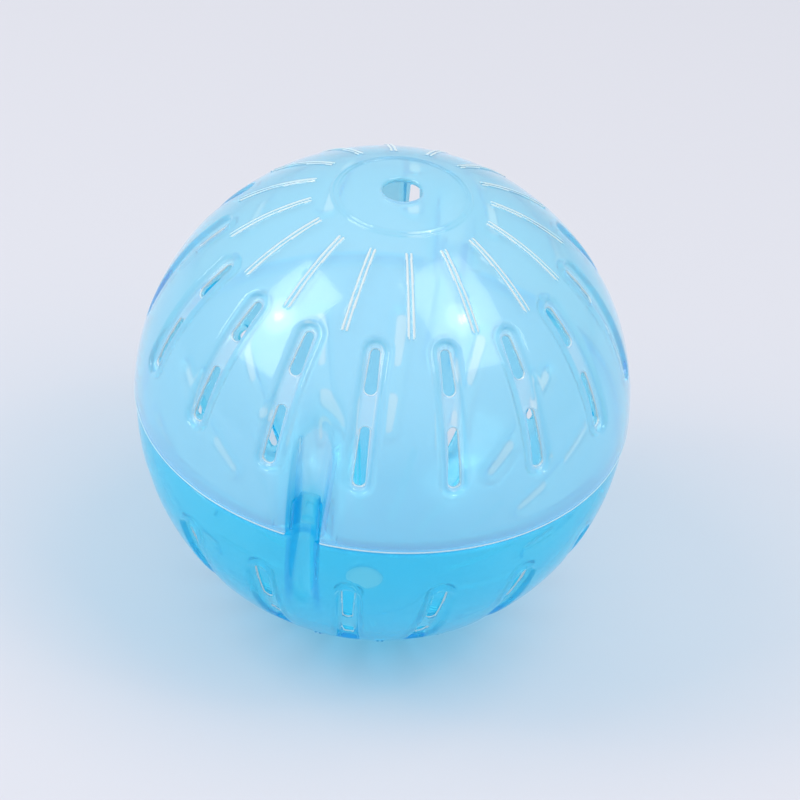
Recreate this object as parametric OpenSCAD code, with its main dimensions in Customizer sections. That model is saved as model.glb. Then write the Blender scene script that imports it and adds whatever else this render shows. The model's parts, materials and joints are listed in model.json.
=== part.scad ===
// Small hamster ball: two clear halves that push together at the waist.
// Millimetres. The origin is the middle of the ball, +Z runs through both pole holes,
// and the two latch channels face -Y and +Y.

/* [Ball] */
// Outside diameter of the upper half
ball_d = 100; // [85:1:130]
// Wall of both halves
wall = 1.4; // [1.1:0.1:1.8]
// How much smaller the lower half is, measured on the radius
half_step = 0.5; // [0.3:0.1:0.8]
// Depth of the parting line under the middle of the upper half
parting_drop = 0.5; // [0.3:0.1:1]
// Bevel on the outer edge of both rims
rim_bevel = 0.2; // [0.1:0.05:0.25]

/* [Lap ring] */
// Height of the lower half's ring above the parting line
lap_rise = 1.8; // [1:0.1:3]
// Length of the ring below the parting line, down to where it starts to taper
lap_root = 1.8; // [1:0.1:3]
// Wall of the ring
lap_wall = 1.1; // [0.8:0.1:1.4]
// Gap round the ring, and round the tongues in their channels
lap_gap = 0.3; // [0.2:0.05:0.4]
// Lead-in bevel on the ring's top edge
lap_bevel = 0.3; // [0.1:0.1:0.4]

/* [Air slots] */
// Columns of slots round the ball
slot_columns = 16; // [12:2:18]
// Angle of the long slots' lower ends above the waist, in degrees
long_slot_low = 15.6; // [14:0.2:18]
// Angle of the long slots' upper ends above the waist, in degrees
long_slot_high = 29; // [24:0.5:32]
// Angle of the short slots' lower ends above the waist, in degrees
short_slot_low = 36.6; // [34:0.2:38]
// Angle of the short slots' upper ends above the waist, in degrees
short_slot_high = 46.6; // [42:0.2:48]
// Width of a slot near the waist
slot_wide = 2.4; // [1.8:0.1:3]
// Width of a slot near the pole
slot_narrow = 1.8; // [1.2:0.1:2.4]

/* [Slot pockets] */
// Width of a pocket at the ball's surface
pocket_w = 4.8; // [4.2:0.1:5.4]
// Width of a pocket at its floor
pocket_floor_w = 3.4; // [3.1:0.1:3.8]
// Depth of a pocket
pocket_depth = 1.3; // [0.8:0.1:1.6]
// Plastic left under a pocket's floor
pocket_floor = 1.1; // [0.8:0.1:1.4]

/* [Ribs and ring] */
// Angle of the ribs' lower ends above the waist, in degrees
rib_low = 49.2; // [48:0.2:56]
// Angle of the ribs' upper ends above the waist, in degrees
rib_high = 69.3; // [60:0.1:71]
// Width of a rib at the ball's surface
rib_w = 1.3; // [0.8:0.1:1.8]
// Height of the ribs and of the ring
rib_h = 0.25; // [0.15:0.05:0.4]
// Middle diameter of the ring round each pole
ring_d = 26.2; // [22:0.2:30]
// Width of the ring at the ball's surface
ring_w = 1.1; // [0.8:0.1:1.6]

/* [Pole holes] */
// Diameter of the hole through each pole
pole_hole_d = 7.8; // [5:0.1:10]
// Bevel on each hole's outer edge
pole_bevel = 0.4; // [0.2:0.1:0.6]

/* [Latch channels] */
// Radius of the upper half's channel
channel_r = 4.1; // [3.7:0.1:4.6]
// Depth of the upper half's channel at the waist
channel_depth = 6.4; // [5.4:0.1:7]
// Wall round the lower half's channel and of the tongue's cheeks
cheek_wall = 0.95; // [0.8:0.05:1.1]
// Thickness of the tongue's web
web_wall = 1.15; // [0.9:0.05:1.3]
// Height of the tongue's cheeks above the parting line
cheek_rise = 6; // [4:0.1:8]
// Width of the round-topped web above the cheeks
web_w = 4.6; // [3.6:0.1:5]
// How far the cheeks' free edges lie inside the ball's surface
cheek_inset = 1.3; // [0.8:0.1:2]

/* [Snap] */
// Height of the grip nub above the parting line
nub_rise = 1.7; // [1.2:0.1:3]
// Width of the grip nub
nub_w = 2.9; // [2:0.1:3.2]
// Radius of the grip nub
nub_r = 0.55; // [0.3:0.05:0.7]
// Height of the snap bead above the parting line
bead_rise = 4.4; // [3.6:0.1:5]
// Width of the snap bead
bead_w = 2; // [1.5:0.1:2.4]
// How far the snap bead stays off the upper half
bead_gap = 0.05; // [0.03:0.01:0.1]
// Radius of the snap bead and of the notch that it faces
bead_r = 0.45; // [0.35:0.05:0.6]
// Depth of the notch
notch_depth = 0.25; // [0.15:0.05:0.4]

/* [Hidden] */
$fn = 96;

// Overrun of every cut, and how far a raised shape starts inside the wall
over = wall / 2;
r_upper = ball_d / 2;
r_lower = r_upper - half_step;
slot_pitch = 360 / slot_columns;
boss_h = pocket_depth + pocket_floor - wall;
// Share of the wall by which a boss stands wider than its pocket on each side
boss_side_share = 0.5;
boss_side = boss_side_share * wall;
// Radius of a pocket's or boss's end, as a share of half its width
bar_end_share = 1.12;
// Share of a rib's width that its flat top keeps
rib_top_share = 0.6;
channel_axis = r_upper - channel_depth + channel_r;
tongue_r = channel_r - lap_gap;
groove_r = tongue_r - cheek_wall;
groove_axis = channel_axis - tongue_r + web_wall + groove_r;
web_face = groove_axis - groove_r;
web_back = channel_axis - tongue_r;
lap_out = r_upper - wall - lap_gap;
lap_in = lap_out - lap_wall;
z_part = -parting_drop;

// The angle at a ball's middle that a length along its surface covers
function arc_angle(length, radius) = length / radius * 180 / PI;

// A bar that follows a meridian between two angles above the waist, w_in wide at
// r_in and w_out wide at r_out
module meridian_bar(r_in, r_out, w_in, w_out, low, high) {
    rotate([90, 0, 0])
        rotate([0, 0, low])
            rotate_extrude(angle = high - low)
                polygon([
                    [r_in, -w_in / 2],
                    [r_out, -w_out / 2],
                    [r_out, w_out / 2],
                    [r_in, w_in / 2]
                ]);
}

// The same bar with a rounded end round each of its two angles
module round_ended_bar(r_in, r_out, w_in, w_out, low, high) {
    end_r = w_out / 2 * bar_end_share;
    mid = (low + high) / 2;
    reach = r_out * sin((high - low) / 2);
    spare = arc_angle(w_out, r_out);
    intersection() {
        meridian_bar(r_in, r_out, w_in, w_out, low - spare, high + spare);
        rotate([0, 90 - mid, 0])
            linear_extrude(height = r_out + over) {
                translate([-reach, -end_r])
                    square([2 * reach, 2 * end_r]);
                for (x = [-reach, reach])
                    translate([x, 0])
                        circle(r = end_r);
            }
    }
}

// Places a shape made over +X in every slot column, or halfway between them
module columns(offset_share = 0.5) {
    for (k = [0 : slot_columns - 1])
        rotate([0, 0, (k + offset_share) * slot_pitch - 90])
            children();
}

// Places a shape made over +X at both latch channels
module channels() {
    for (angle = [-90, 90])
        rotate([0, 0, angle])
            children();
}

// A straight slot through the wall between two angles, narrower towards the pole
module slot_cut(radius, low, high) {
    mid = (low + high) / 2;
    reach = radius * sin((high - low) / 2);
    y_high = reach - slot_narrow / 2;
    y_low = slot_wide / 2 - reach;
    depth = wall + boss_h + pocket_w;
    rotate([0, 90 - mid, 0])
        rotate([0, 0, 90])
            translate([0, 0, radius - depth])
                linear_extrude(height = depth + over) {
                    polygon([
                        [-slot_wide / 2, y_low],
                        [slot_wide / 2, y_low],
                        [slot_narrow / 2, y_high],
                        [-slot_narrow / 2, y_high]
                    ]);
                    translate([0, y_low])
                        circle(d = slot_wide);
                    translate([0, y_high])
                        circle(d = slot_narrow);
                }
}

// The raised inside of a slot pocket
module boss(radius) {
    edge_low = long_slot_low + arc_angle(slot_wide / 2, radius);
    edge_high = short_slot_high - arc_angle(slot_narrow / 2, radius);
    round_ended_bar(
        radius - wall - boss_h, radius - wall + over,
        pocket_floor_w + 2 * boss_side, pocket_w + 2 * boss_side,
        edge_low, edge_high
    );
}

// The sunk outside of a slot pocket, with its two slots
module pocket_cut(radius) {
    edge_low = long_slot_low + arc_angle(slot_wide / 2, radius);
    edge_high = short_slot_high - arc_angle(slot_narrow / 2, radius);
    slope = (pocket_w - pocket_floor_w) / pocket_depth;
    round_ended_bar(
        radius - pocket_depth, radius + over,
        pocket_floor_w, pocket_w + slope * over,
        edge_low, edge_high
    );
    slot_cut(radius, long_slot_low, long_slot_high);
    slot_cut(radius, short_slot_low, short_slot_high);
}

// A low rib along a meridian
module rib(radius) {
    meridian_bar(
        radius - over, radius + rib_h,
        rib_w, rib_w * rib_top_share,
        rib_low, rib_high
    );
}

// The low ring round a pole
module pole_ring(radius) {
    mid = ring_d / 2;
    half = ring_w / 2;
    z_mid = sqrt(radius * radius - mid * mid);
    rotate_extrude()
        polygon([
            [mid - half, z_mid - over],
            [mid + half, z_mid - over],
            [mid + half * rib_top_share, z_mid + rib_h],
            [mid - half * rib_top_share, z_mid + rib_h]
        ]);
}

// The hole through a pole, bevelled outside
module pole_cut(radius) {
    hole_r = pole_hole_d / 2;
    rim_r = hole_r + pole_bevel;
    rim_z = sqrt(radius * radius - rim_r * rim_r);
    cylinder(h = radius + over, r = hole_r);
    translate([0, 0, rim_z - pole_bevel])
        cylinder(h = 2 * pole_bevel, r1 = hole_r, r2 = hole_r + 2 * pole_bevel);
}

// Half a hollow ball over the XY plane with its ribs and slot pockets
module pierced_dome(radius) {
    difference() {
        union() {
            difference() {
                sphere(r = radius);
                sphere(r = radius - wall);
                translate([0, 0, -radius])
                    cube(2 * radius, center = true);
            }
            columns() boss(radius);
            columns(0) rib(radius);
            pole_ring(radius);
        }
        columns() pocket_cut(radius);
        pole_cut(radius);
    }
}

// The plan of a channel: round at its bottom and open outwards, as far as reach
module channel_plan(r, axis, reach) {
    intersection() {
        union() {
            translate([axis, 0])
                circle(r = r);
            translate([axis, -r])
                square([reach - axis, 2 * r]);
        }
        translate([axis - r, -r])
            square([reach - axis + r, 2 * r]);
    }
}

// The upper half
module upper_shell() color("#8fd2fb") {
    channel_top = r_upper / 2;
    difference() {
        union() {
            pierced_dome(r_upper);
            rotate_extrude()
                polygon([
                    [r_upper - wall, z_part],
                    [r_upper - rim_bevel, z_part],
                    [r_upper, z_part + rim_bevel],
                    [r_upper, 0],
                    [r_upper - wall, 0]
                ]);
            intersection() {
                union() {
                    sphere(r = r_upper - over);
                    translate([0, 0, z_part])
                        cylinder(h = parting_drop, r = r_upper - over);
                }
                channels()
                    translate([0, 0, z_part])
                        linear_extrude(height = channel_top + parting_drop)
                            channel_plan(channel_r + wall, channel_axis, r_upper);
            }
        }
        channels() {
            translate([0, 0, z_part - over])
                linear_extrude(height = channel_top + wall + over)
                    channel_plan(channel_r, channel_axis, r_upper + over);
            translate([channel_axis - channel_r + bead_r - notch_depth, 0, z_part + bead_rise])
                rotate([90, 0, 0])
                    cylinder(h = bead_w + 2 * lap_gap, r = bead_r, center = true);
        }
    }
}

// One latch tongue: a channel-shaped strip with a round-topped web
module tongue() {
    intersection() {
        translate([0, 0, z_part - lap_root])
            linear_extrude(height = lap_root + cheek_rise + web_w)
                difference() {
                    channel_plan(tongue_r, channel_axis, r_upper - cheek_inset);
                    channel_plan(groove_r, groove_axis, r_upper);
                }
        union() {
            translate([0, -channel_r, z_part - lap_root])
                cube([r_upper, 2 * channel_r, lap_root + cheek_rise]);
            translate([0, 0, z_part + cheek_rise])
                rotate([0, 90, 0])
                    cylinder(h = r_upper, d = web_w);
        }
    }
    translate([web_face, 0, z_part + nub_rise])
        rotate([90, 0, 0])
            cylinder(h = nub_w, r = nub_r, center = true);
    translate([web_back + bead_r - lap_gap + bead_gap, 0, z_part + bead_rise])
        rotate([90, 0, 0])
            cylinder(h = bead_w, r = bead_r, center = true);
}

// The lower half
module lower_shell() color("#86cdfa") {
    channel_foot = r_upper / 2;
    difference() {
        union() {
            translate([0, 0, z_part])
                mirror([0, 0, 1])
                    pierced_dome(r_lower);
            lap_ring();
            intersection() {
                translate([0, 0, z_part])
                    sphere(r = r_lower - over);
                channels()
                    translate([0, 0, z_part - channel_foot])
                        linear_extrude(height = channel_foot)
                            channel_plan(tongue_r, channel_axis, r_upper);
            }
        }
        channels() {
            translate([0, 0, z_part - channel_foot - wall])
                linear_extrude(height = channel_foot + wall + lap_rise + over)
                    channel_plan(groove_r, groove_axis, r_upper + over);
            translate([0, 0, z_part])
                linear_extrude(height = lap_rise + over)
                    channel_plan(channel_r + wall + lap_gap, channel_axis, r_upper + over);
        }
        lower_rim_cut();
    }
    channels() tongue();
}

// The bevel round the lower half's rim
module lower_rim_cut() {
    rotate_extrude()
        polygon([
            [r_lower - rim_bevel, z_part],
            [r_lower + over, z_part - rim_bevel - over],
            [r_lower + over, z_part + over],
            [r_lower - rim_bevel, z_part + over]
        ]);
}

// The ring that the upper half's rim drops over
module lap_ring() {
    low = z_part - lap_root;
    high = z_part + lap_rise;
    join = r_lower - over;
    rotate_extrude()
        polygon([
            [lap_in, high],
            [lap_out - lap_bevel, high],
            [lap_out, high - lap_bevel],
            [lap_out, z_part],
            [join, z_part],
            [join, low - lap_wall],
            [lap_in, low]
        ]);
}

upper_shell();
lower_shell();
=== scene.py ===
import json
import math

import bpy
import numpy as np
from mathutils import Matrix, Quaternion, Vector

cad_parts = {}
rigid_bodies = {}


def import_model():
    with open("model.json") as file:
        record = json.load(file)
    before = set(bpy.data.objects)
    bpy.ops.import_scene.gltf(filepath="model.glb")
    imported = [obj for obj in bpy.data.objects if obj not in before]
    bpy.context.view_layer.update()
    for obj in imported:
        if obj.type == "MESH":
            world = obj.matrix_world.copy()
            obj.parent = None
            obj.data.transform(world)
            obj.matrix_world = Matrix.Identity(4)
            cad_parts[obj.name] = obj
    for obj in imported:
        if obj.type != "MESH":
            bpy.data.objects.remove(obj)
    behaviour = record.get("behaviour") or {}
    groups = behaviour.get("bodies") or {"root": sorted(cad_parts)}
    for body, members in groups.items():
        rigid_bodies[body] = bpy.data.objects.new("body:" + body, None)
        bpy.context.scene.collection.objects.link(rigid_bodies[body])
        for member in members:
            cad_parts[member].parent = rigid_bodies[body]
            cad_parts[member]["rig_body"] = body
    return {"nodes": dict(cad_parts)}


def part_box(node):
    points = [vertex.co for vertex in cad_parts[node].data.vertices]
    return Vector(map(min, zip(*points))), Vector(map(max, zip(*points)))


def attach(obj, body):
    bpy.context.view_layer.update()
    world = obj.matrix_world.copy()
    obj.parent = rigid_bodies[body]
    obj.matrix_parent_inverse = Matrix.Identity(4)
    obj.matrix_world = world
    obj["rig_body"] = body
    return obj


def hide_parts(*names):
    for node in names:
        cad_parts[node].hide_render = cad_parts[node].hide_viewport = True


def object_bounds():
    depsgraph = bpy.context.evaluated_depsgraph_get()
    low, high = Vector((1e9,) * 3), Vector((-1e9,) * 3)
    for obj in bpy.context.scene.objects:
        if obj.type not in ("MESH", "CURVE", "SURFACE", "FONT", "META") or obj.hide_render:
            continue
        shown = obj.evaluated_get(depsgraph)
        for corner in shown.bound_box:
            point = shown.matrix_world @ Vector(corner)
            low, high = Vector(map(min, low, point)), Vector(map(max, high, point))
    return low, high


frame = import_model()
cad_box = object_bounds()

# Clear blue hamster ball. Shapes are worked out in millimetres in the part's own frame, and
# turned into metres when a mesh is made.
MM = 0.001

# Ball
BOX_LOW, BOX_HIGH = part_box("upper_shell")
R_UPPER = round((BOX_HIGH.x - BOX_LOW.x) / 2 / MM, 1)
HALF_STEP = 0.5
R_LOWER = R_UPPER - HALF_STEP
WALL = 1.4
Z_PART = -0.5
RIM_GAP = 0.03
RIM_ROUND = 0.2

# Fine groove above the upper rim
LINE_RISE = 0.75
LINE_OUT = 0.2
LINE_R = 0.36
LINE_ROUND = 0.1

# Lap ring
LAP_RISE = 1.8
LAP_ROOT = 1.8
LAP_WALL = 1.1
LAP_GAP = 0.3
LAP_OUT = R_UPPER - WALL - LAP_GAP
LAP_IN = LAP_OUT - LAP_WALL
LAP_ROUND = 0.3

# Air slots and the pockets that they lie in
COLUMNS = 16
PITCH = 2 * math.pi / COLUMNS
FIRST = math.pi / 2
LONG_SLOT = np.radians([15.6, 29.0])
SHORT_SLOT = np.radians([36.6, 46.6])
SLOT_WIDE = 2.4
SLOT_NARROW = 1.8
SLOT_ROUND = 0.45
POCKET_W = 4.8
POCKET_FLOOR_W = 3.4
POCKET_DEPTH = 1.3
POCKET_FLOOR = 1.1
POCKET_ROUND = 0.7
BOSS_H = POCKET_DEPTH + POCKET_FLOOR - WALL
BOSS_SIDE = 0.7
BOSS_ROUND = 0.7

# Ribs, rings and pole holes
RIB = np.radians([49.2, 69.3])
RIB_H = 0.25
RIDGE_OFF = 0.45
RIDGE_R = 0.34
RIDGE_ROUND = 0.12
RING_R = 13.1
HOLE_R = 3.9
HOLE_ROUND = 0.8

# Narrow strips of the surface painted pale as painted highlights: rib crests, slot edges and the rim's
# edge
CREST_FROM = 0.16
CREST_FROM_RING = 1.4
SLOT_EDGE = (-0.04, 0.16)
EDGE_DEPTH = 0.4
EDGE_OVER_LINE = 0.1

# Latch channels and tongues
CHANNEL_R = 3.4
CHANNEL_TOP_R = 4.4
CHANNEL_DEPTH = 5.5
CHANNEL_RUN = R_UPPER / 2 - Z_PART
CHANNEL_DRAFT = (CHANNEL_TOP_R - CHANNEL_R) / CHANNEL_RUN
CHANNEL_AXIS = R_UPPER - CHANNEL_DEPTH + CHANNEL_R
CHANNEL_ROUND = 0.5
CHANNEL_WALL = 1.1
CHANNEL_BLEND = 4.0
RING_CLEAR = 1.4
CHEEK_WALL = 0.8
WEB_WALL = 1.2
BACK_GAP = 0.8
CHEEK_RISE = 7.6
CHEEK_INSET = 1.3
WEB_W = 4.4
TONGUE_R = CHANNEL_R - LAP_GAP
TONGUE_AXIS = CHANNEL_AXIS - CHANNEL_R + BACK_GAP + TONGUE_R
TONGUE_ROUND = 0.3
GROOVE_R = TONGUE_R - CHEEK_WALL
GROOVE_FOOT_R = 3.0
GROOVE_DRAFT = (GROOVE_FOOT_R - GROOVE_R) / CHANNEL_RUN
GROOVE_AXIS = TONGUE_AXIS + WEB_WALL - CHEEK_WALL
WEB_FACE = GROOVE_AXIS - GROOVE_R
NUB_RISE = 2.9
NUB_W = 2.4
NUB_R = 0.75
BEAD_RISE = 5.2
BEAD_W = 2.0
BEAD_GAP = 0.05
BEAD_R = 0.9
NOTCH_DEPTH = 0.25
NOTCH_ROUND = 0.12


def smax(a, b, k):
    """The larger of two fields, with the edge between them rounded over k."""
    h = np.maximum(k - np.abs(a - b), 0.0) / k
    return np.maximum(a, b) + 0.25 * k * h * h


def smin(a, b, k):
    """The smaller of two fields, with the corner between them filled over k."""
    return -smax(-a, -b, k)


def along_meridian(u_col, z, low, high, radius):
    """Height along the tangent at the middle of two angles, and half the chord between them."""
    mid = (low + high) / 2
    height = z * math.cos(mid) - u_col * math.sin(mid)
    return height, radius * math.sin((high - low) / 2)


def trough(w, u_col, z, depth, radius, half_at_depth, slope):
    """A bar with round ends along the column's meridian, half_at_depth wide at depth 0."""
    low = LONG_SLOT[0] + SLOT_WIDE / 2 / radius
    high = SHORT_SLOT[1] - SLOT_NARROW / 2 / radius
    height, reach = along_meridian(u_col, z, low, high, radius)
    beyond = np.maximum(np.abs(height) - reach, 0.0)
    return (np.hypot(beyond, w) - half_at_depth - slope * depth) / math.hypot(1, slope)


def slot(w, u_col, z, angles, radius):
    """A slot that narrows towards the pole."""
    height, reach = along_meridian(u_col, z, angles[0], angles[1], radius)
    top = reach - SLOT_NARROW / 2
    foot = SLOT_WIDE / 2 - reach
    share = np.clip((height - foot) / (top - foot), 0, 1)
    half = SLOT_WIDE / 2 + share * (SLOT_NARROW - SLOT_WIDE) / 2
    return np.hypot(w, height - foot - share * (top - foot)) - half


def dome(x, y, z, radius):
    """Half a ball with its pole at +z: its outer field, its inner field and what is cut out."""
    rho = np.hypot(x, y)
    r = np.where(z > 0, np.hypot(rho, z), rho)
    angle = np.arctan2(y, x) + FIRST
    to_column = np.mod(angle, PITCH) - PITCH / 2
    to_rib = np.mod(angle + PITCH / 2, PITCH) - PITCH / 2
    w = np.abs(rho * np.sin(to_column))
    u_col = rho * np.cos(to_column)
    latitude = np.arctan2(z, rho)

    above = r - radius - RIB_H + RIDGE_R
    beyond = np.maximum(np.maximum(latitude - RIB[1], RIB[0] - latitude), 0.0) * radius
    beside = np.abs(np.abs(rho * np.sin(to_rib)) - RIDGE_OFF)
    rib = np.sqrt(beside**2 + above**2 + beyond**2) - RIDGE_R
    ring = np.hypot(np.abs(rho - RING_R) - RIDGE_OFF, above) - RIDGE_R
    outer = smin(smin(r - radius, rib, RIDGE_ROUND), ring, RIDGE_ROUND)

    slope = (POCKET_W - POCKET_FLOOR_W) / 2 / POCKET_DEPTH
    inside = radius - WALL
    boss_side = trough(w, u_col, z, r - inside + BOSS_H, radius, POCKET_FLOOR_W / 2 + BOSS_SIDE, slope)
    boss = smax(boss_side, inside - BOSS_H - r, BOSS_ROUND)
    inner = smin(inside - r, boss, BOSS_ROUND)

    floor_r = radius - POCKET_DEPTH
    pocket = smax(
        trough(w, u_col, z, r - floor_r, radius, POCKET_FLOOR_W / 2, slope), floor_r - r, POCKET_ROUND
    )
    cuts = [
        (pocket, POCKET_ROUND),
        (slot(w, u_col, z, LONG_SLOT, radius), SLOT_ROUND),
        (slot(w, u_col, z, SHORT_SLOT, radius), SLOT_ROUND),
        (rho - HOLE_R, HOLE_ROUND),
    ]
    return outer, inner, cuts


def cut_all(solid, cuts):
    """Takes each field of a list of cuts out of a solid, with its own rounding."""
    for field, rounding in cuts:
        solid = smax(solid, -field, rounding)
    return solid


def channel_plan(out, across, r, axis):
    """The plan of a channel: round at its bottom and open outwards."""
    return np.where(out > axis, np.abs(across), np.hypot(out - axis, across)) - r


def capsule(out, across, z, at_out, at_z, width, radius):
    """A short bar across a channel, with round ends."""
    beyond = np.maximum(np.abs(across) - width / 2 + radius, 0.0)
    return np.sqrt(beyond**2 + (out - at_out) ** 2 + (z - at_z) ** 2) - radius


def upper_field(p):
    """Below zero inside the upper half."""
    x, y, z = p.T
    out, across = np.abs(y), x
    outer, inner, cuts = dome(x, y, z, R_UPPER)
    rise = z - Z_PART
    channel = channel_plan(out, across, CHANNEL_R + CHANNEL_DRAFT * rise, CHANNEL_AXIS)
    boss = smax(channel - CHANNEL_WALL, rise - CHANNEL_RUN, BOSS_ROUND)
    solid = np.maximum(outer, smin(inner, boss, CHANNEL_BLEND))
    solid = cut_all(solid, cuts)
    solid = smax(solid, RIM_GAP - rise, RIM_ROUND)
    line = np.hypot(np.hypot(out, across) - R_UPPER - LINE_OUT, rise - LINE_RISE) - LINE_R
    solid = smax(solid, -line, LINE_ROUND)
    solid = smax(solid, -smax(channel, rise - CHANNEL_RUN - WALL, WALL), CHANNEL_ROUND)
    notch_at = CHANNEL_AXIS - CHANNEL_R - CHANNEL_DRAFT * BEAD_RISE + BEAD_R - NOTCH_DEPTH
    notch = capsule(out, across, rise, notch_at, BEAD_RISE, BEAD_W + 2 * LAP_GAP, BEAD_R)
    return smax(solid, -notch, NOTCH_ROUND)


def lap_ring(rho, z):
    """The ring that the upper half's rim drops over, with its slanted foot."""
    foot = Z_PART - LAP_ROOT
    fall = math.hypot(LAP_WALL, R_LOWER - WALL / 2 - LAP_IN)
    slant = -(LAP_WALL * (rho - LAP_IN) + (R_LOWER - WALL / 2 - LAP_IN) * (z - foot)) / fall
    sides = smax(rho - LAP_OUT, LAP_IN - rho, LAP_ROUND)
    return smax(smax(sides, z - Z_PART - LAP_RISE, LAP_ROUND), slant, LAP_ROUND)


def tongue(out, across, z):
    """One latch tongue with its grip nub and snap bead."""
    rise = z - Z_PART
    above = rise - CHEEK_RISE
    profile = smax(
        channel_plan(out, across, TONGUE_R, TONGUE_AXIS),
        -channel_plan(out, across, GROOVE_R, GROOVE_AXIS),
        TONGUE_ROUND,
    )
    profile = smax(profile, out - R_UPPER + CHEEK_INSET, TONGUE_ROUND)
    end = smin(above, np.hypot(across, above) - WEB_W / 2, TONGUE_ROUND)
    strip = smax(smax(profile, end, TONGUE_ROUND), -LAP_ROOT - rise, TONGUE_ROUND)
    nub = capsule(out, across, rise, WEB_FACE, NUB_RISE, NUB_W, NUB_R)
    reach = np.hypot(out - CHANNEL_AXIS, across) - CHANNEL_R + BEAD_GAP + BEAD_R
    bead = np.hypot(reach, rise - BEAD_RISE) - BEAD_R
    bead = smax(bead, np.abs(across) - BEAD_W / 2, TONGUE_ROUND)
    bead = np.maximum(bead, out - WEB_FACE)
    return smin(smin(strip, nub, TONGUE_ROUND), bead, NOTCH_ROUND)


def lower_field(p):
    """Below zero inside the lower half."""
    x, y, z = p.T
    out, across = np.abs(y), x
    down = Z_PART - z
    outer, inner, cuts = dome(x, y, down, R_LOWER)
    fall = np.maximum(down, 0.0)
    groove = channel_plan(out, across, GROOVE_R + GROOVE_DRAFT * fall, GROOVE_AXIS)
    boss = channel_plan(out, across, TONGUE_R + GROOVE_DRAFT * fall, TONGUE_AXIS)
    boss = smax(boss, down - CHANNEL_RUN, BOSS_ROUND)
    solid = np.maximum(outer, smin(inner, boss, BOSS_ROUND))
    solid = cut_all(solid, cuts)
    solid = smax(solid, RIM_GAP - down, RIM_ROUND)
    beside = np.abs(across) - CHANNEL_R - CHANNEL_WALL - LAP_GAP - RING_CLEAR
    ring = smax(lap_ring(np.hypot(x, y), z), -smax(beside, down - RIM_GAP, LAP_ROUND), LAP_ROUND)
    solid = smin(solid, ring, NOTCH_ROUND)
    solid = smax(solid, -smax(groove, down - CHANNEL_RUN - WALL, WALL), CHANNEL_ROUND)
    return smin(solid, tongue(out, across, z), TONGUE_ROUND)


def steps(*stops):
    """Grid values from stops given as value, step, value, step, value."""
    values = [np.array([stops[0]], float)]
    for start, step, end in zip(stops[:-2:2], stops[1:-1:2], stops[2::2]):
        count = max(1, round((end - start) / step))
        values.append(np.linspace(start, end, count + 1)[1:])
    return np.concatenate(values)


# Mesh grid: angles in degrees, radii in mm
FULL_TURN = 360
RIB_ZONE = 2.3
COLUMN_ZONE = 4.9
CHANNEL_ZONE = math.radians(9.0)
CHANNEL_EVERY = 8
FINE_STEP = 0.4
LATCH_STEP = 0.25
COARSE_STEP = 1.1
EMPTY_MARGIN = 1.1
EMPTY_BELOW = LAP_IN - EMPTY_MARGIN

# Lowest angle of each half with the first step, then stops with the step between each two
UPPER_START = (-1.4, 0.25)
LOWER_START = (-10.6, 0.4)
UP_STOPS = (
    2.0, 0.8, 12.5, 0.35, 19.0, 0.8, 27.5, 0.35, 30.5, 0.8, 35.5, 0.35, 38.5, 0.8, 44.5, 0.35,
    50.0, 1.2, 68.4, 0.35, 70.0, 0.8, 73.6, 0.22, 76.0, 1.0, 83.6, 0.25, 86.2,
)
RADIUS_STOPS = (41.6, 0.34, 46.8, 0.3, 50.9)

# How far the mesh is thinned out and moved onto the field
KEPT_SHARE = 0.35
SETTLE_ROUNDS = 2
TINY = 1e-4
LEAST_SLOPE = 0.05
LONGEST_STEP = 0.25


def grid_round():
    """Angles round the ball: fine at each rib, each column of slots and each latch channel."""
    pitch = FULL_TURN / COLUMNS
    mid = pitch / 2
    latch_steps = (LATCH_STEP, LATCH_STEP)
    plain_steps = (FINE_STEP, COARSE_STEP)
    angles = []
    for k in range(COLUMNS):
        first, last = [plain_steps if j % CHANNEL_EVERY else latch_steps for j in (k, k + 1)]
        sector = steps(
            0, first[0], RIB_ZONE, first[1], mid - COLUMN_ZONE, FINE_STEP,
            mid + COLUMN_ZONE, last[1], pitch - RIB_ZONE, last[0], pitch,
        )
        angles.append(sector[:-1] + k * pitch)
    return np.radians(np.concatenate(angles)) - FIRST


def grid_up(start):
    """Angles from below the rim up to the pole hole: fine at the ends of slots and ribs."""
    return np.radians(steps(*start, *UP_STOPS))


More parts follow.
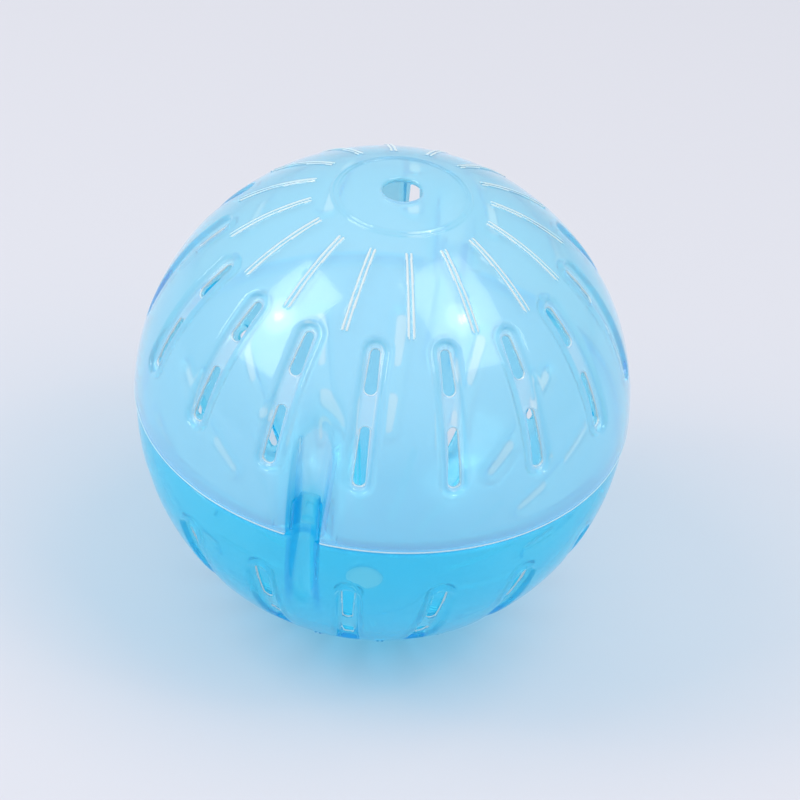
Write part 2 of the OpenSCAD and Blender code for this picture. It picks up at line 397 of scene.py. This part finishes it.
def net(field, place, around, up, radii):
    """Surface net of a field on a bent grid: corner points in mm, and faces that look outwards."""
    lon, lat, r = np.meshgrid(around, up, radii, indexing="ij")
    shape = lon.shape
    points = place(lon.ravel(), lat.ravel(), r.ravel())
    off_channel = np.abs(np.mod(lon.ravel(), math.pi) - math.pi / 2) > CHANNEL_ZONE
    near = ~(off_channel & (r.ravel() < EMPTY_BELOW))
    values = np.ones(len(points))
    values[near] = field(points[near])
    values = values.reshape(shape)
    points = points.reshape(shape + (3,))
    values = np.concatenate([values, values[:1]])
    points = np.concatenate([points, points[:1]])
    inside = values < 0
    cells = (shape[0], shape[1] - 1, shape[2] - 1)
    corners = [(a, b, c) for a in (0, 1) for b in (0, 1) for c in (0, 1)]

    def corner(array, offset):
        a, b, c = offset
        return array[a:a + cells[0], b:b + cells[1], c:c + cells[2]]

    count = sum(corner(inside, o).astype(np.int8) for o in corners)
    active = (count > 0) & (count < len(corners))
    number = np.full(cells, -1, np.int64)
    number[active] = np.arange(active.sum())
    f = [corner(values, o)[active] for o in corners]
    at = [corner(points, o)[active] for o in corners]
    total = np.zeros((int(active.sum()), 3))
    crossings = np.zeros(int(active.sum()))
    for i, one in enumerate(corners):
        for j, other in enumerate(corners):
            if i < j and sum(abs(p - q) for p, q in zip(one, other)) == 1:
                crossed = (f[i] < 0) != (f[j] < 0)
                share = f[i][crossed] / (f[i][crossed] - f[j][crossed])
                total[crossed] += at[i][crossed] + share[:, None] * (at[j] - at[i])[crossed]
                crossings[crossed] += 1
    verts = total / crossings[:, None]

    back = np.roll(number, 1, axis=0)
    faces = []
    i, j, k = np.nonzero((inside[:-1] != inside[1:])[:, 1:-1, 1:-1])
    quads = np.stack([
        number[i, j, k], number[i, j + 1, k], number[i, j + 1, k + 1], number[i, j, k + 1],
    ], 1)
    faces.append(turned(quads, inside[i, j + 1, k + 1]))
    i, j, k = np.nonzero((inside[:, :-1] != inside[:, 1:])[:-1, :, 1:-1])
    quads = np.stack([back[i, j, k], back[i, j, k + 1], number[i, j, k + 1], number[i, j, k]], 1)
    faces.append(turned(quads, inside[i, j, k + 1]))
    i, j, k = np.nonzero((inside[:, :, :-1] != inside[:, :, 1:])[:-1, 1:-1, :])
    quads = np.stack([back[i, j, k], number[i, j, k], number[i, j + 1, k], back[i, j + 1, k]], 1)
    faces.append(turned(quads, inside[i, j + 1, k]))
    return verts, np.concatenate(faces)


def turned(quads, as_they_are):
    """Quads with their order reversed where a flag isn't set."""
    return np.where(as_they_are[:, None], quads, quads[:, ::-1])


def slope_of(field, p, value):
    """The gradient of a field at points where its value is known."""
    shifts = np.eye(3) * TINY
    return np.stack([(field(p + shift) - value) / TINY for shift in shifts], 1)


def settle(field, p, rounds):
    """Moves points onto a field's surface."""
    for _ in range(rounds):
        value = field(p)
        g = slope_of(field, p, value)
        step = value[:, None] * g / np.maximum((g * g).sum(1), LEAST_SLOPE)[:, None]
        length = np.linalg.norm(step, axis=1, keepdims=True)
        p = p - step * np.minimum(1.0, LONGEST_STEP / np.maximum(length, TINY * TINY))
    return p


def painted_highlight_strips(p, radius, rim_top):
    """Whether points lie on a rib's crest, a slot's outer edge or the rim's edge: the strips that get
    a painted highlight.
    """
    x, y, z = p.T
    rho = np.hypot(x, y)
    r = np.hypot(rho, np.maximum(z, 0.0))
    to_column = np.mod(np.arctan2(y, x) + FIRST, PITCH) - PITCH / 2
    w = np.abs(rho * np.sin(to_column))
    u_col = rho * np.cos(to_column)
    off = np.minimum(slot(w, u_col, z, LONG_SLOT, radius), slot(w, u_col, z, SHORT_SLOT, radius))
    at_floor = np.abs(r - radius + POCKET_DEPTH) < EDGE_DEPTH
    at_slot = (off > SLOT_EDGE[0]) & (off < SLOT_EDGE[1]) & at_floor
    at_rim = (z < rim_top) & (r > radius - EDGE_DEPTH)
    at_rib = (r - radius > CREST_FROM) & (rho > RING_R + CREST_FROM_RING)
    return at_rib | at_slot | at_rim


def upper_painted_highlights(p):
    """Whether points of the upper half get a painted highlight."""
    return painted_highlight_strips(p, R_UPPER, Z_PART + LINE_RISE - LINE_R + EDGE_OVER_LINE)


def lower_painted_highlights(p):
    """Whether points of the lower half get a painted highlight."""
    return painted_highlight_strips(np.stack([p[:, 0], p[:, 1], Z_PART - p[:, 2]], 1), R_LOWER, Z_PART)


def moulding(name, node, field, place, start, edges):
    """Makes one half as a fine mesh with the field's own normals, in place of its CAD node; faces that
    edges picks out get a second material, a painted highlight.
    """
    verts, faces = net(field, place, grid_round(), grid_up(start), steps(*RADIUS_STOPS))
    verts = settle(field, verts, SETTLE_ROUNDS)
    if place is place_lower:
        faces = faces[:, ::-1]
    mesh = bpy.data.meshes.new(name)
    mesh.from_pydata((verts * MM).tolist(), [], faces.tolist())
    piece = bpy.data.objects.new(name, mesh)
    bpy.context.scene.collection.objects.link(piece)
    lean = piece.modifiers.new("fewer_faces", "DECIMATE")
    lean.ratio = KEPT_SHARE
    graph = bpy.context.evaluated_depsgraph_get()
    reduced = bpy.data.meshes.new_from_object(piece.evaluated_get(graph))
    piece.modifiers.clear()
    piece.data = reduced
    bpy.data.meshes.remove(mesh)
    reduced.name = name
    co = np.zeros(len(reduced.vertices) * 3)
    reduced.vertices.foreach_get("co", co)
    co = settle(field, co.reshape(-1, 3) / MM, SETTLE_ROUNDS)
    reduced.vertices.foreach_set("co", (co * MM).ravel())
    reduced.polygons.foreach_set("use_smooth", np.ones(len(reduced.polygons), bool))
    centres = np.zeros(len(reduced.polygons) * 3)
    reduced.polygons.foreach_get("center", centres)
    on_painted_highlight = edges(centres.reshape(-1, 3) / MM)
    reduced.update()
    g = slope_of(field, co, field(co))
    g /= np.linalg.norm(g, axis=1, keepdims=True)
    reduced.normals_split_custom_set_from_vertices(g.tolist())
    # The second material slot holds the painted highlight, on the faces that edges picks out
    reduced.materials.append(None)
    reduced.materials.append(None)
    reduced.polygons.foreach_set("material_index", on_painted_highlight.astype(np.int32))
    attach(piece, frame["nodes"][node]["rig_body"])
    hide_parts(node)
    return piece


def place_upper(lon, lat, r):
    """Points of the upper half from two angles and a radius."""
    return np.stack([r * np.cos(lat) * np.cos(lon), r * np.cos(lat) * np.sin(lon), r * np.sin(lat)], 1)


def place_lower(lon, lat, r):
    """The same under the parting line."""
    p = place_upper(lon, lat, r)
    p[:, 2] = Z_PART - p[:, 2]
    return p


# Plastic of the two halves, and the light that it lets through. The lower half's deeper plastic is
# painted shade
SKIN_IOR = 1.56
SKIN_ROUGH = 0.12
BODY_IOR = 1.12
BODY_ROUGH = (0.05, 0.08)
DEEP_BLUE = (0.05, 0.93, 0.98)
MILK_FRONT_SHARE = 0.95
PASSED_LIGHT = (0.82, 0.91, 0.97)
# In each plastic, milk is the inner faces' colour and outer_milk the outer faces': the difference is
# painted light and shade, paler inside and deeper outside, not a real change in the plastic
UPPER_PLASTIC = {
    "clear": (0.984, 1.0, 1.0),
    "milk": (0.95, 0.88, 1.0),
    "outer_milk": (0.62, 0.79, 1.0),
    "milk_share": 0.27,
    "density": 310.0,
}
# The lower half gets a deeper blue copy of the same plastic: painted shade, where less light reaches
# it and the shaded floor shows through
LOWER_SHADED_PLASTIC = {
    "clear": (1.0, 1.0, 1.0),
    "milk": (0.10, 0.75, 1.0),
    "outer_milk": (0.0, 0.64, 1.0),
    "milk_share": 0.27,
    "density": 320.0,
}
# Paler, milkier plastic on the narrow strips: painted highlights, not a real change in the plastic
PAINTED_HIGHLIGHT_PLASTIC = {"milk": (1.0, 1.0, 1.0), "outer_milk": (0.86, 0.98, 1.0), "milk_share": 0.7}
# Deeper blue painted on the latch channel's side walls and in a strip along the parting line: painted
# shade
SHADE_CLEAR = (0.40, 0.86, 1.0)
SHADE_MILK = (0.0, 0.45, 0.90)

# Distances in mm between which the outer skin and the places of painted shade (latch channel walls, a
# strip along the parting line) begin and end
SKIN_FROM = (48.65, 49.3)
LATCH_OUT = (42.0, 43.0)
UPPER_SHADE_PLACES = {
    "channel": {"draft": CHANNEL_DRAFT, "across": (1.7, 2.9, 3.4, 3.6)},
    "foot": (None, None, 4.0, 21.0),
    "strip": None,
}
LOWER_SHADE_PLACES = {
    "channel": {"draft": -GROOVE_DRAFT, "across": (1.3, 2.2, 3.0, 3.2)},
    "foot": (-24.0, -16.0, 9.0, 10.0),
    "strip": (-1.4, -0.9, 0.0, 0.2),
}

# Faint haze in the plastic and soft flow marks on it
HAZE_SCALE = 60.0
HAZE_DETAIL = 4.0
HAZE_SPREAD = (0.35, 0.75)
RIPPLE_SCALE = 45.0
RIPPLE_DETAIL = 1.0
RIPPLE_STRENGTH = 0.08
RIPPLE_DEPTH = 0.0005


def add_node(tree, kind, settings):
    """A new shader node with its input values set."""
    node = tree.nodes.new("ShaderNode" + kind)
    for key, value in settings.items():
        node.inputs[key].default_value = (*value, 1) if isinstance(value, tuple) else value
    return node


def calc(tree, operation, *values):
    """The output of a math node on numbers and other nodes' outputs."""
    node = tree.nodes.new("ShaderNodeMath")
    node.operation = operation
    for socket, value in zip(node.inputs, values):
        if isinstance(value, float):
            socket.default_value = value
        else:
            tree.links.new(value, socket)
    return node.outputs[0]


def between(tree, value, *edges):
    """1 between a length's inner edges in mm and 0 past its outer ones. None leaves a side open."""
    found = []
    for start, end in (edges[:2], edges[:1:-1]):
        if start is not None:
            node = add_node(tree, "MapRange", {"From Min": start * MM, "From Max": end * MM})
            tree.links.new(value, node.inputs["Value"])
            found.append(node.outputs["Result"])
    return calc(tree, "MULTIPLY", found[0], found[-1]) if len(found) > 1 else found[0]


def painted_shade_mask(tree, at, channel, foot, strip):
    """1 where painted shade goes: in the latch channel's side walls and in a strip along the parting
    line.
    """
    apart = add_node(tree, "SeparateXYZ", {})
    tree.links.new(at, apart.inputs[0])
    x, y, z = apart.outputs
    across = calc(tree, "MULTIPLY_ADD", z, -channel["draft"], calc(tree, "ABSOLUTE", x))
    wall = between(tree, across, *channel["across"])
    deep_in = between(tree, calc(tree, "ABSOLUTE", y), *LATCH_OUT, None, None)
    wall = calc(tree, "MULTIPLY", wall, deep_in)
    wall = calc(tree, "MULTIPLY", wall, between(tree, z, *foot))
    if strip is None:
        return wall
    return calc(tree, "MAXIMUM", wall, between(tree, z, *strip))


def tinted(tree, mask, *colours):
    """A colour that goes over to a second one where the mask is 1."""
    node = tree.nodes.new("ShaderNodeMix")
    node.data_type = "RGBA"
    for socket, colour in zip([s for s in node.inputs if s.type == "RGBA"], colours):
        if isinstance(colour, tuple):
            socket.default_value = (*colour, 1)
        else:
            tree.links.new(colour, socket)
    tree.links.new(mask, node.inputs["Factor"])
    return [s for s in node.outputs if s.type == "RGBA"][0]


def outer_skin(tree, at):
    """1 on the ball's outside and 0 on its inside, where the milk colour switches between the faces as
    painted light and shade.
    """
    length = tree.nodes.new("ShaderNodeVectorMath")
    length.operation = "LENGTH"
    tree.links.new(at, length.inputs[0])
    return between(tree, length.outputs["Value"], *SKIN_FROM, None, None)


def clear_plastic(name, clear, milk, outer_milk, milk_share, density, shade_places):
    """Clear blue moulded plastic, faintly milky, under a polished skin with soft flow marks, and with
    painted shade in deeper blue where the shade mask is 1.
    """
    material = bpy.data.materials.new(name)
    material.use_nodes = True
    tree = material.node_tree
    tree.nodes.clear()
    link = tree.links.new
    coords = add_node(tree, "TexCoord", {})
    haze = add_node(tree, "TexNoise", {"Scale": HAZE_SCALE, "Detail": HAZE_DETAIL})
    rough = add_node(tree, "MapRange", {
        "From Min": HAZE_SPREAD[0], "From Max": HAZE_SPREAD[1],
        "To Min": BODY_ROUGH[0], "To Max": BODY_ROUGH[1],
    })
    ripple = add_node(tree, "TexNoise", {"Scale": RIPPLE_SCALE, "Detail": RIPPLE_DETAIL})
    bump = add_node(tree, "Bump", {"Strength": RIPPLE_STRENGTH, "Distance": RIPPLE_DEPTH})
    body = add_node(tree, "BsdfPrincipled", {
        "IOR": BODY_IOR, "Transmission Weight": 1.0,
        "Coat Weight": 1.0, "Coat Roughness": SKIN_ROUGH, "Coat IOR": SKIN_IOR,
    })
    through = add_node(tree, "BsdfTranslucent", {})
    facing = add_node(tree, "BsdfDiffuse", {})
    milky = add_node(tree, "MixShader", {0: MILK_FRONT_SHARE})
    surface = add_node(tree, "MixShader", {0: milk_share})
    passed = add_node(tree, "BsdfTransparent", {"Color": PASSED_LIGHT})
    path = add_node(tree, "LightPath", {})
    soft = calc(tree, "MAXIMUM", path.outputs["Is Shadow Ray"], path.outputs["Is Diffuse Ray"])
    lit = add_node(tree, "MixShader", {})
    fill = add_node(tree, "VolumeAbsorption", {"Color": DEEP_BLUE, "Density": density})
    out = add_node(tree, "OutputMaterial", {})
    # Painted shade: deeper blue in the latch channel walls and along the parting line
    mask = painted_shade_mask(tree, coords.outputs["Object"], **shade_places)
    link(tinted(tree, mask, clear, SHADE_CLEAR), body.inputs["Base Color"])
    # The inner and outer faces get different milk colours: painted light and shade
    milk_colour = tinted(tree, outer_skin(tree, coords.outputs["Object"]), milk, outer_milk)
    milk_colour = tinted(tree, mask, milk_colour, SHADE_MILK)
    link(milk_colour, through.inputs["Color"])
    link(milk_colour, facing.inputs["Color"])
    link(coords.outputs["Object"], haze.inputs["Vector"])
    link(coords.outputs["Object"], ripple.inputs["Vector"])
    link(haze.outputs["Fac"], rough.inputs["Value"])
    link(rough.outputs["Result"], body.inputs["Roughness"])
    link(ripple.outputs["Fac"], bump.inputs["Height"])
    link(bump.outputs["Normal"], body.inputs["Normal"])
    link(through.outputs[0], milky.inputs[1])
    link(facing.outputs[0], milky.inputs[2])
    link(body.outputs["BSDF"], surface.inputs[1])
    link(milky.outputs[0], surface.inputs[2])
    link(soft, lit.inputs[0])
    link(surface.outputs[0], lit.inputs[1])
    link(passed.outputs[0], lit.inputs[2])
    link(lit.outputs[0], out.inputs["Surface"])
    link(fill.outputs["Volume"], out.inputs["Volume"])
    return material


# The two halves
upper = moulding("upper_dome", "upper_shell", upper_field, place_upper, UPPER_START, upper_painted_highlights)
lower = moulding("lower_dome", "lower_shell", lower_field, place_lower, LOWER_START, lower_painted_highlights)
# The lower half's material is a darker copy of the upper's plastic: painted shade
for piece, half, plastic, shade_places in (
    (upper, "upper", UPPER_PLASTIC, UPPER_SHADE_PLACES),
    (lower, "lower", LOWER_SHADED_PLASTIC, LOWER_SHADE_PLACES),
):
    piece.data.materials[0] = clear_plastic("sky_plastic_" + half, shade_places=shade_places, **plastic)
    # The narrow strips get the same plastic made pale and milky: painted highlights
    highlight_paint = {**plastic, **PAINTED_HIGHLIGHT_PLASTIC}
    piece.data.materials[1] = clear_plastic("sky_painted_highlight_" + half, shade_places=shade_places, **highlight_paint)

# Floor, world and lamps
FLOOR_SIZE = 6.0
FLOOR_COLOUR = (0.632, 0.648, 0.715)
FLOOR_ROUGH = 0.9
FLOOR_SPECULAR = 0.1
FLOOR_GAP = 0.0001
WORLD_COLOUR = (0.95, 0.97, 1.0)
WORLD_STRENGTH = 0.61
LAMP_COLOUR = (1.0, 0.955, 0.92)

# Each lamp: degrees round the ball, degrees above its waist, distance and size in metres, watts,
# and degrees that it is turned about its own axis
LAMPS = {
    "softbox_left": (-63.0, 42.9, 1.2, (0.60, 0.99), 6.7, 20.4),
    "softbox_right": (89.0, 59.6, 1.2, (0.72, 1.05), 6.7, -30.4),
    "core_left": (-64.7, 41.4, 1.15, 0.3, 0.62, 0.0),
    "core_right": (85.6, 57.7, 1.15, 0.3, 0.62, 0.0),
    "spot_left": (-64.7, 41.4, 1.1, 0.07, 0.2, 0.0),
    "spot_right": (85.6, 57.7, 1.1, 0.07, 0.2, 0.0),
}


def make_floor():
    """A plain square just under the ball."""
    mesh = bpy.data.meshes.new("floor")
    half = FLOOR_SIZE / 2
    z = cad_box[0].z - FLOOR_GAP
    corners = [(-half, -half, z), (half, -half, z), (half, half, z), (-half, half, z)]
    mesh.from_pydata(corners, [], [(0, 1, 2, 3)])
    floor = bpy.data.objects.new("floor", mesh)
    bpy.context.scene.collection.objects.link(floor)
    material = bpy.data.materials.new("floor_matt")
    material.use_nodes = True
    body = material.node_tree.nodes["Principled BSDF"]
    body.inputs["Base Color"].default_value = (*FLOOR_COLOUR, 1)
    body.inputs["Roughness"].default_value = FLOOR_ROUGH
    body.inputs["Specular IOR Level"].default_value = FLOOR_SPECULAR
    mesh.materials.append(material)


def make_world():
    """Even pale light from all round."""
    world = bpy.data.worlds.new("pale_room")
    world.use_nodes = True
    background = world.node_tree.nodes["Background"]
    background.inputs["Color"].default_value = (*WORLD_COLOUR, 1)
    background.inputs["Strength"].default_value = WORLD_STRENGTH
    bpy.context.scene.world = world


def outwards(azimuth, elevation):
    """The direction of a place round the ball, from angles in degrees."""
    a, e = math.radians(azimuth), math.radians(elevation)
    return Vector((math.sin(a) * math.cos(e), -math.cos(a) * math.cos(e), math.sin(e)))


def make_lamp(name, azimuth, elevation, distance, size, watts, roll):
    """An area lamp that faces the ball: rectangular with a width and a height, or round."""
    back = outwards(azimuth, elevation)
    lamp = bpy.data.lights.new(name, "AREA")
    if isinstance(size, tuple):
        lamp.shape = "RECTANGLE"
        lamp.size, lamp.size_y = size
    else:
        lamp.shape = "DISK"
        lamp.size = size
    lamp.energy = watts
    lamp.color = LAMP_COLOUR
    holder = bpy.data.objects.new(name, lamp)
    holder.location = back * distance
    holder.rotation_mode = "QUATERNION"
    turn = Quaternion((0, 0, 1), math.radians(roll))
    holder.rotation_quaternion = (-back).to_track_quat("-Z", "Y") @ turn
    bpy.context.scene.collection.objects.link(holder)


make_floor()
make_world()
for lamp_name, lamp_values in LAMPS.items():
    make_lamp(lamp_name, *lamp_values)

# Camera, fitted to the photograph's 800 x 800 frame
IMAGE = 800
FOCAL_PX = 3551.9
SENSOR = 36.0
CAMERA_AZIMUTH = 14.68
CAMERA_ELEVATION = 37.14
CAMERA_ROLL = math.radians(5.63)
CAMERA_RADII = 14.35
CAMERA_DISTANCE = CAMERA_RADII * R_UPPER * MM
NEAR_CLIP = 0.01
BALL_AT_PX = (382.4, 393.1)


def make_camera():
    """The photograph's camera, with the ball's middle at its place in the frame."""
    a = math.radians(CAMERA_AZIMUTH)
    back = outwards(CAMERA_AZIMUTH, CAMERA_ELEVATION)
    right = Vector((math.cos(a), math.sin(a), 0))
    up = back.cross(right)
    c, s = math.cos(CAMERA_ROLL), math.sin(CAMERA_ROLL)
    right, up = c * right + s * up, c * up - s * right
    eye = back * CAMERA_DISTANCE
    px = CAMERA_DISTANCE / FOCAL_PX
    target = right * (IMAGE / 2 - BALL_AT_PX[0]) * px - up * (IMAGE / 2 - BALL_AT_PX[1]) * px
    back = (eye - target).normalized()
    right = up.cross(back).normalized()
    up = back.cross(right)
    data = bpy.data.cameras.new("photo_camera")
    data.sensor_width = SENSOR
    data.lens = FOCAL_PX / IMAGE * SENSOR
    data.clip_start = NEAR_CLIP
    camera = bpy.data.objects.new("photo_camera", data)
    camera.matrix_world = Matrix((
        (right.x, up.x, back.x, eye.x),
        (right.y, up.y, back.y, eye.y),
        (right.z, up.z, back.z, eye.z),
        (0, 0, 0, 1),
    ))
    bpy.context.scene.collection.objects.link(camera)
    bpy.context.scene.camera = camera


make_camera()
bpy.context.scene.view_settings.view_transform = "Standard"
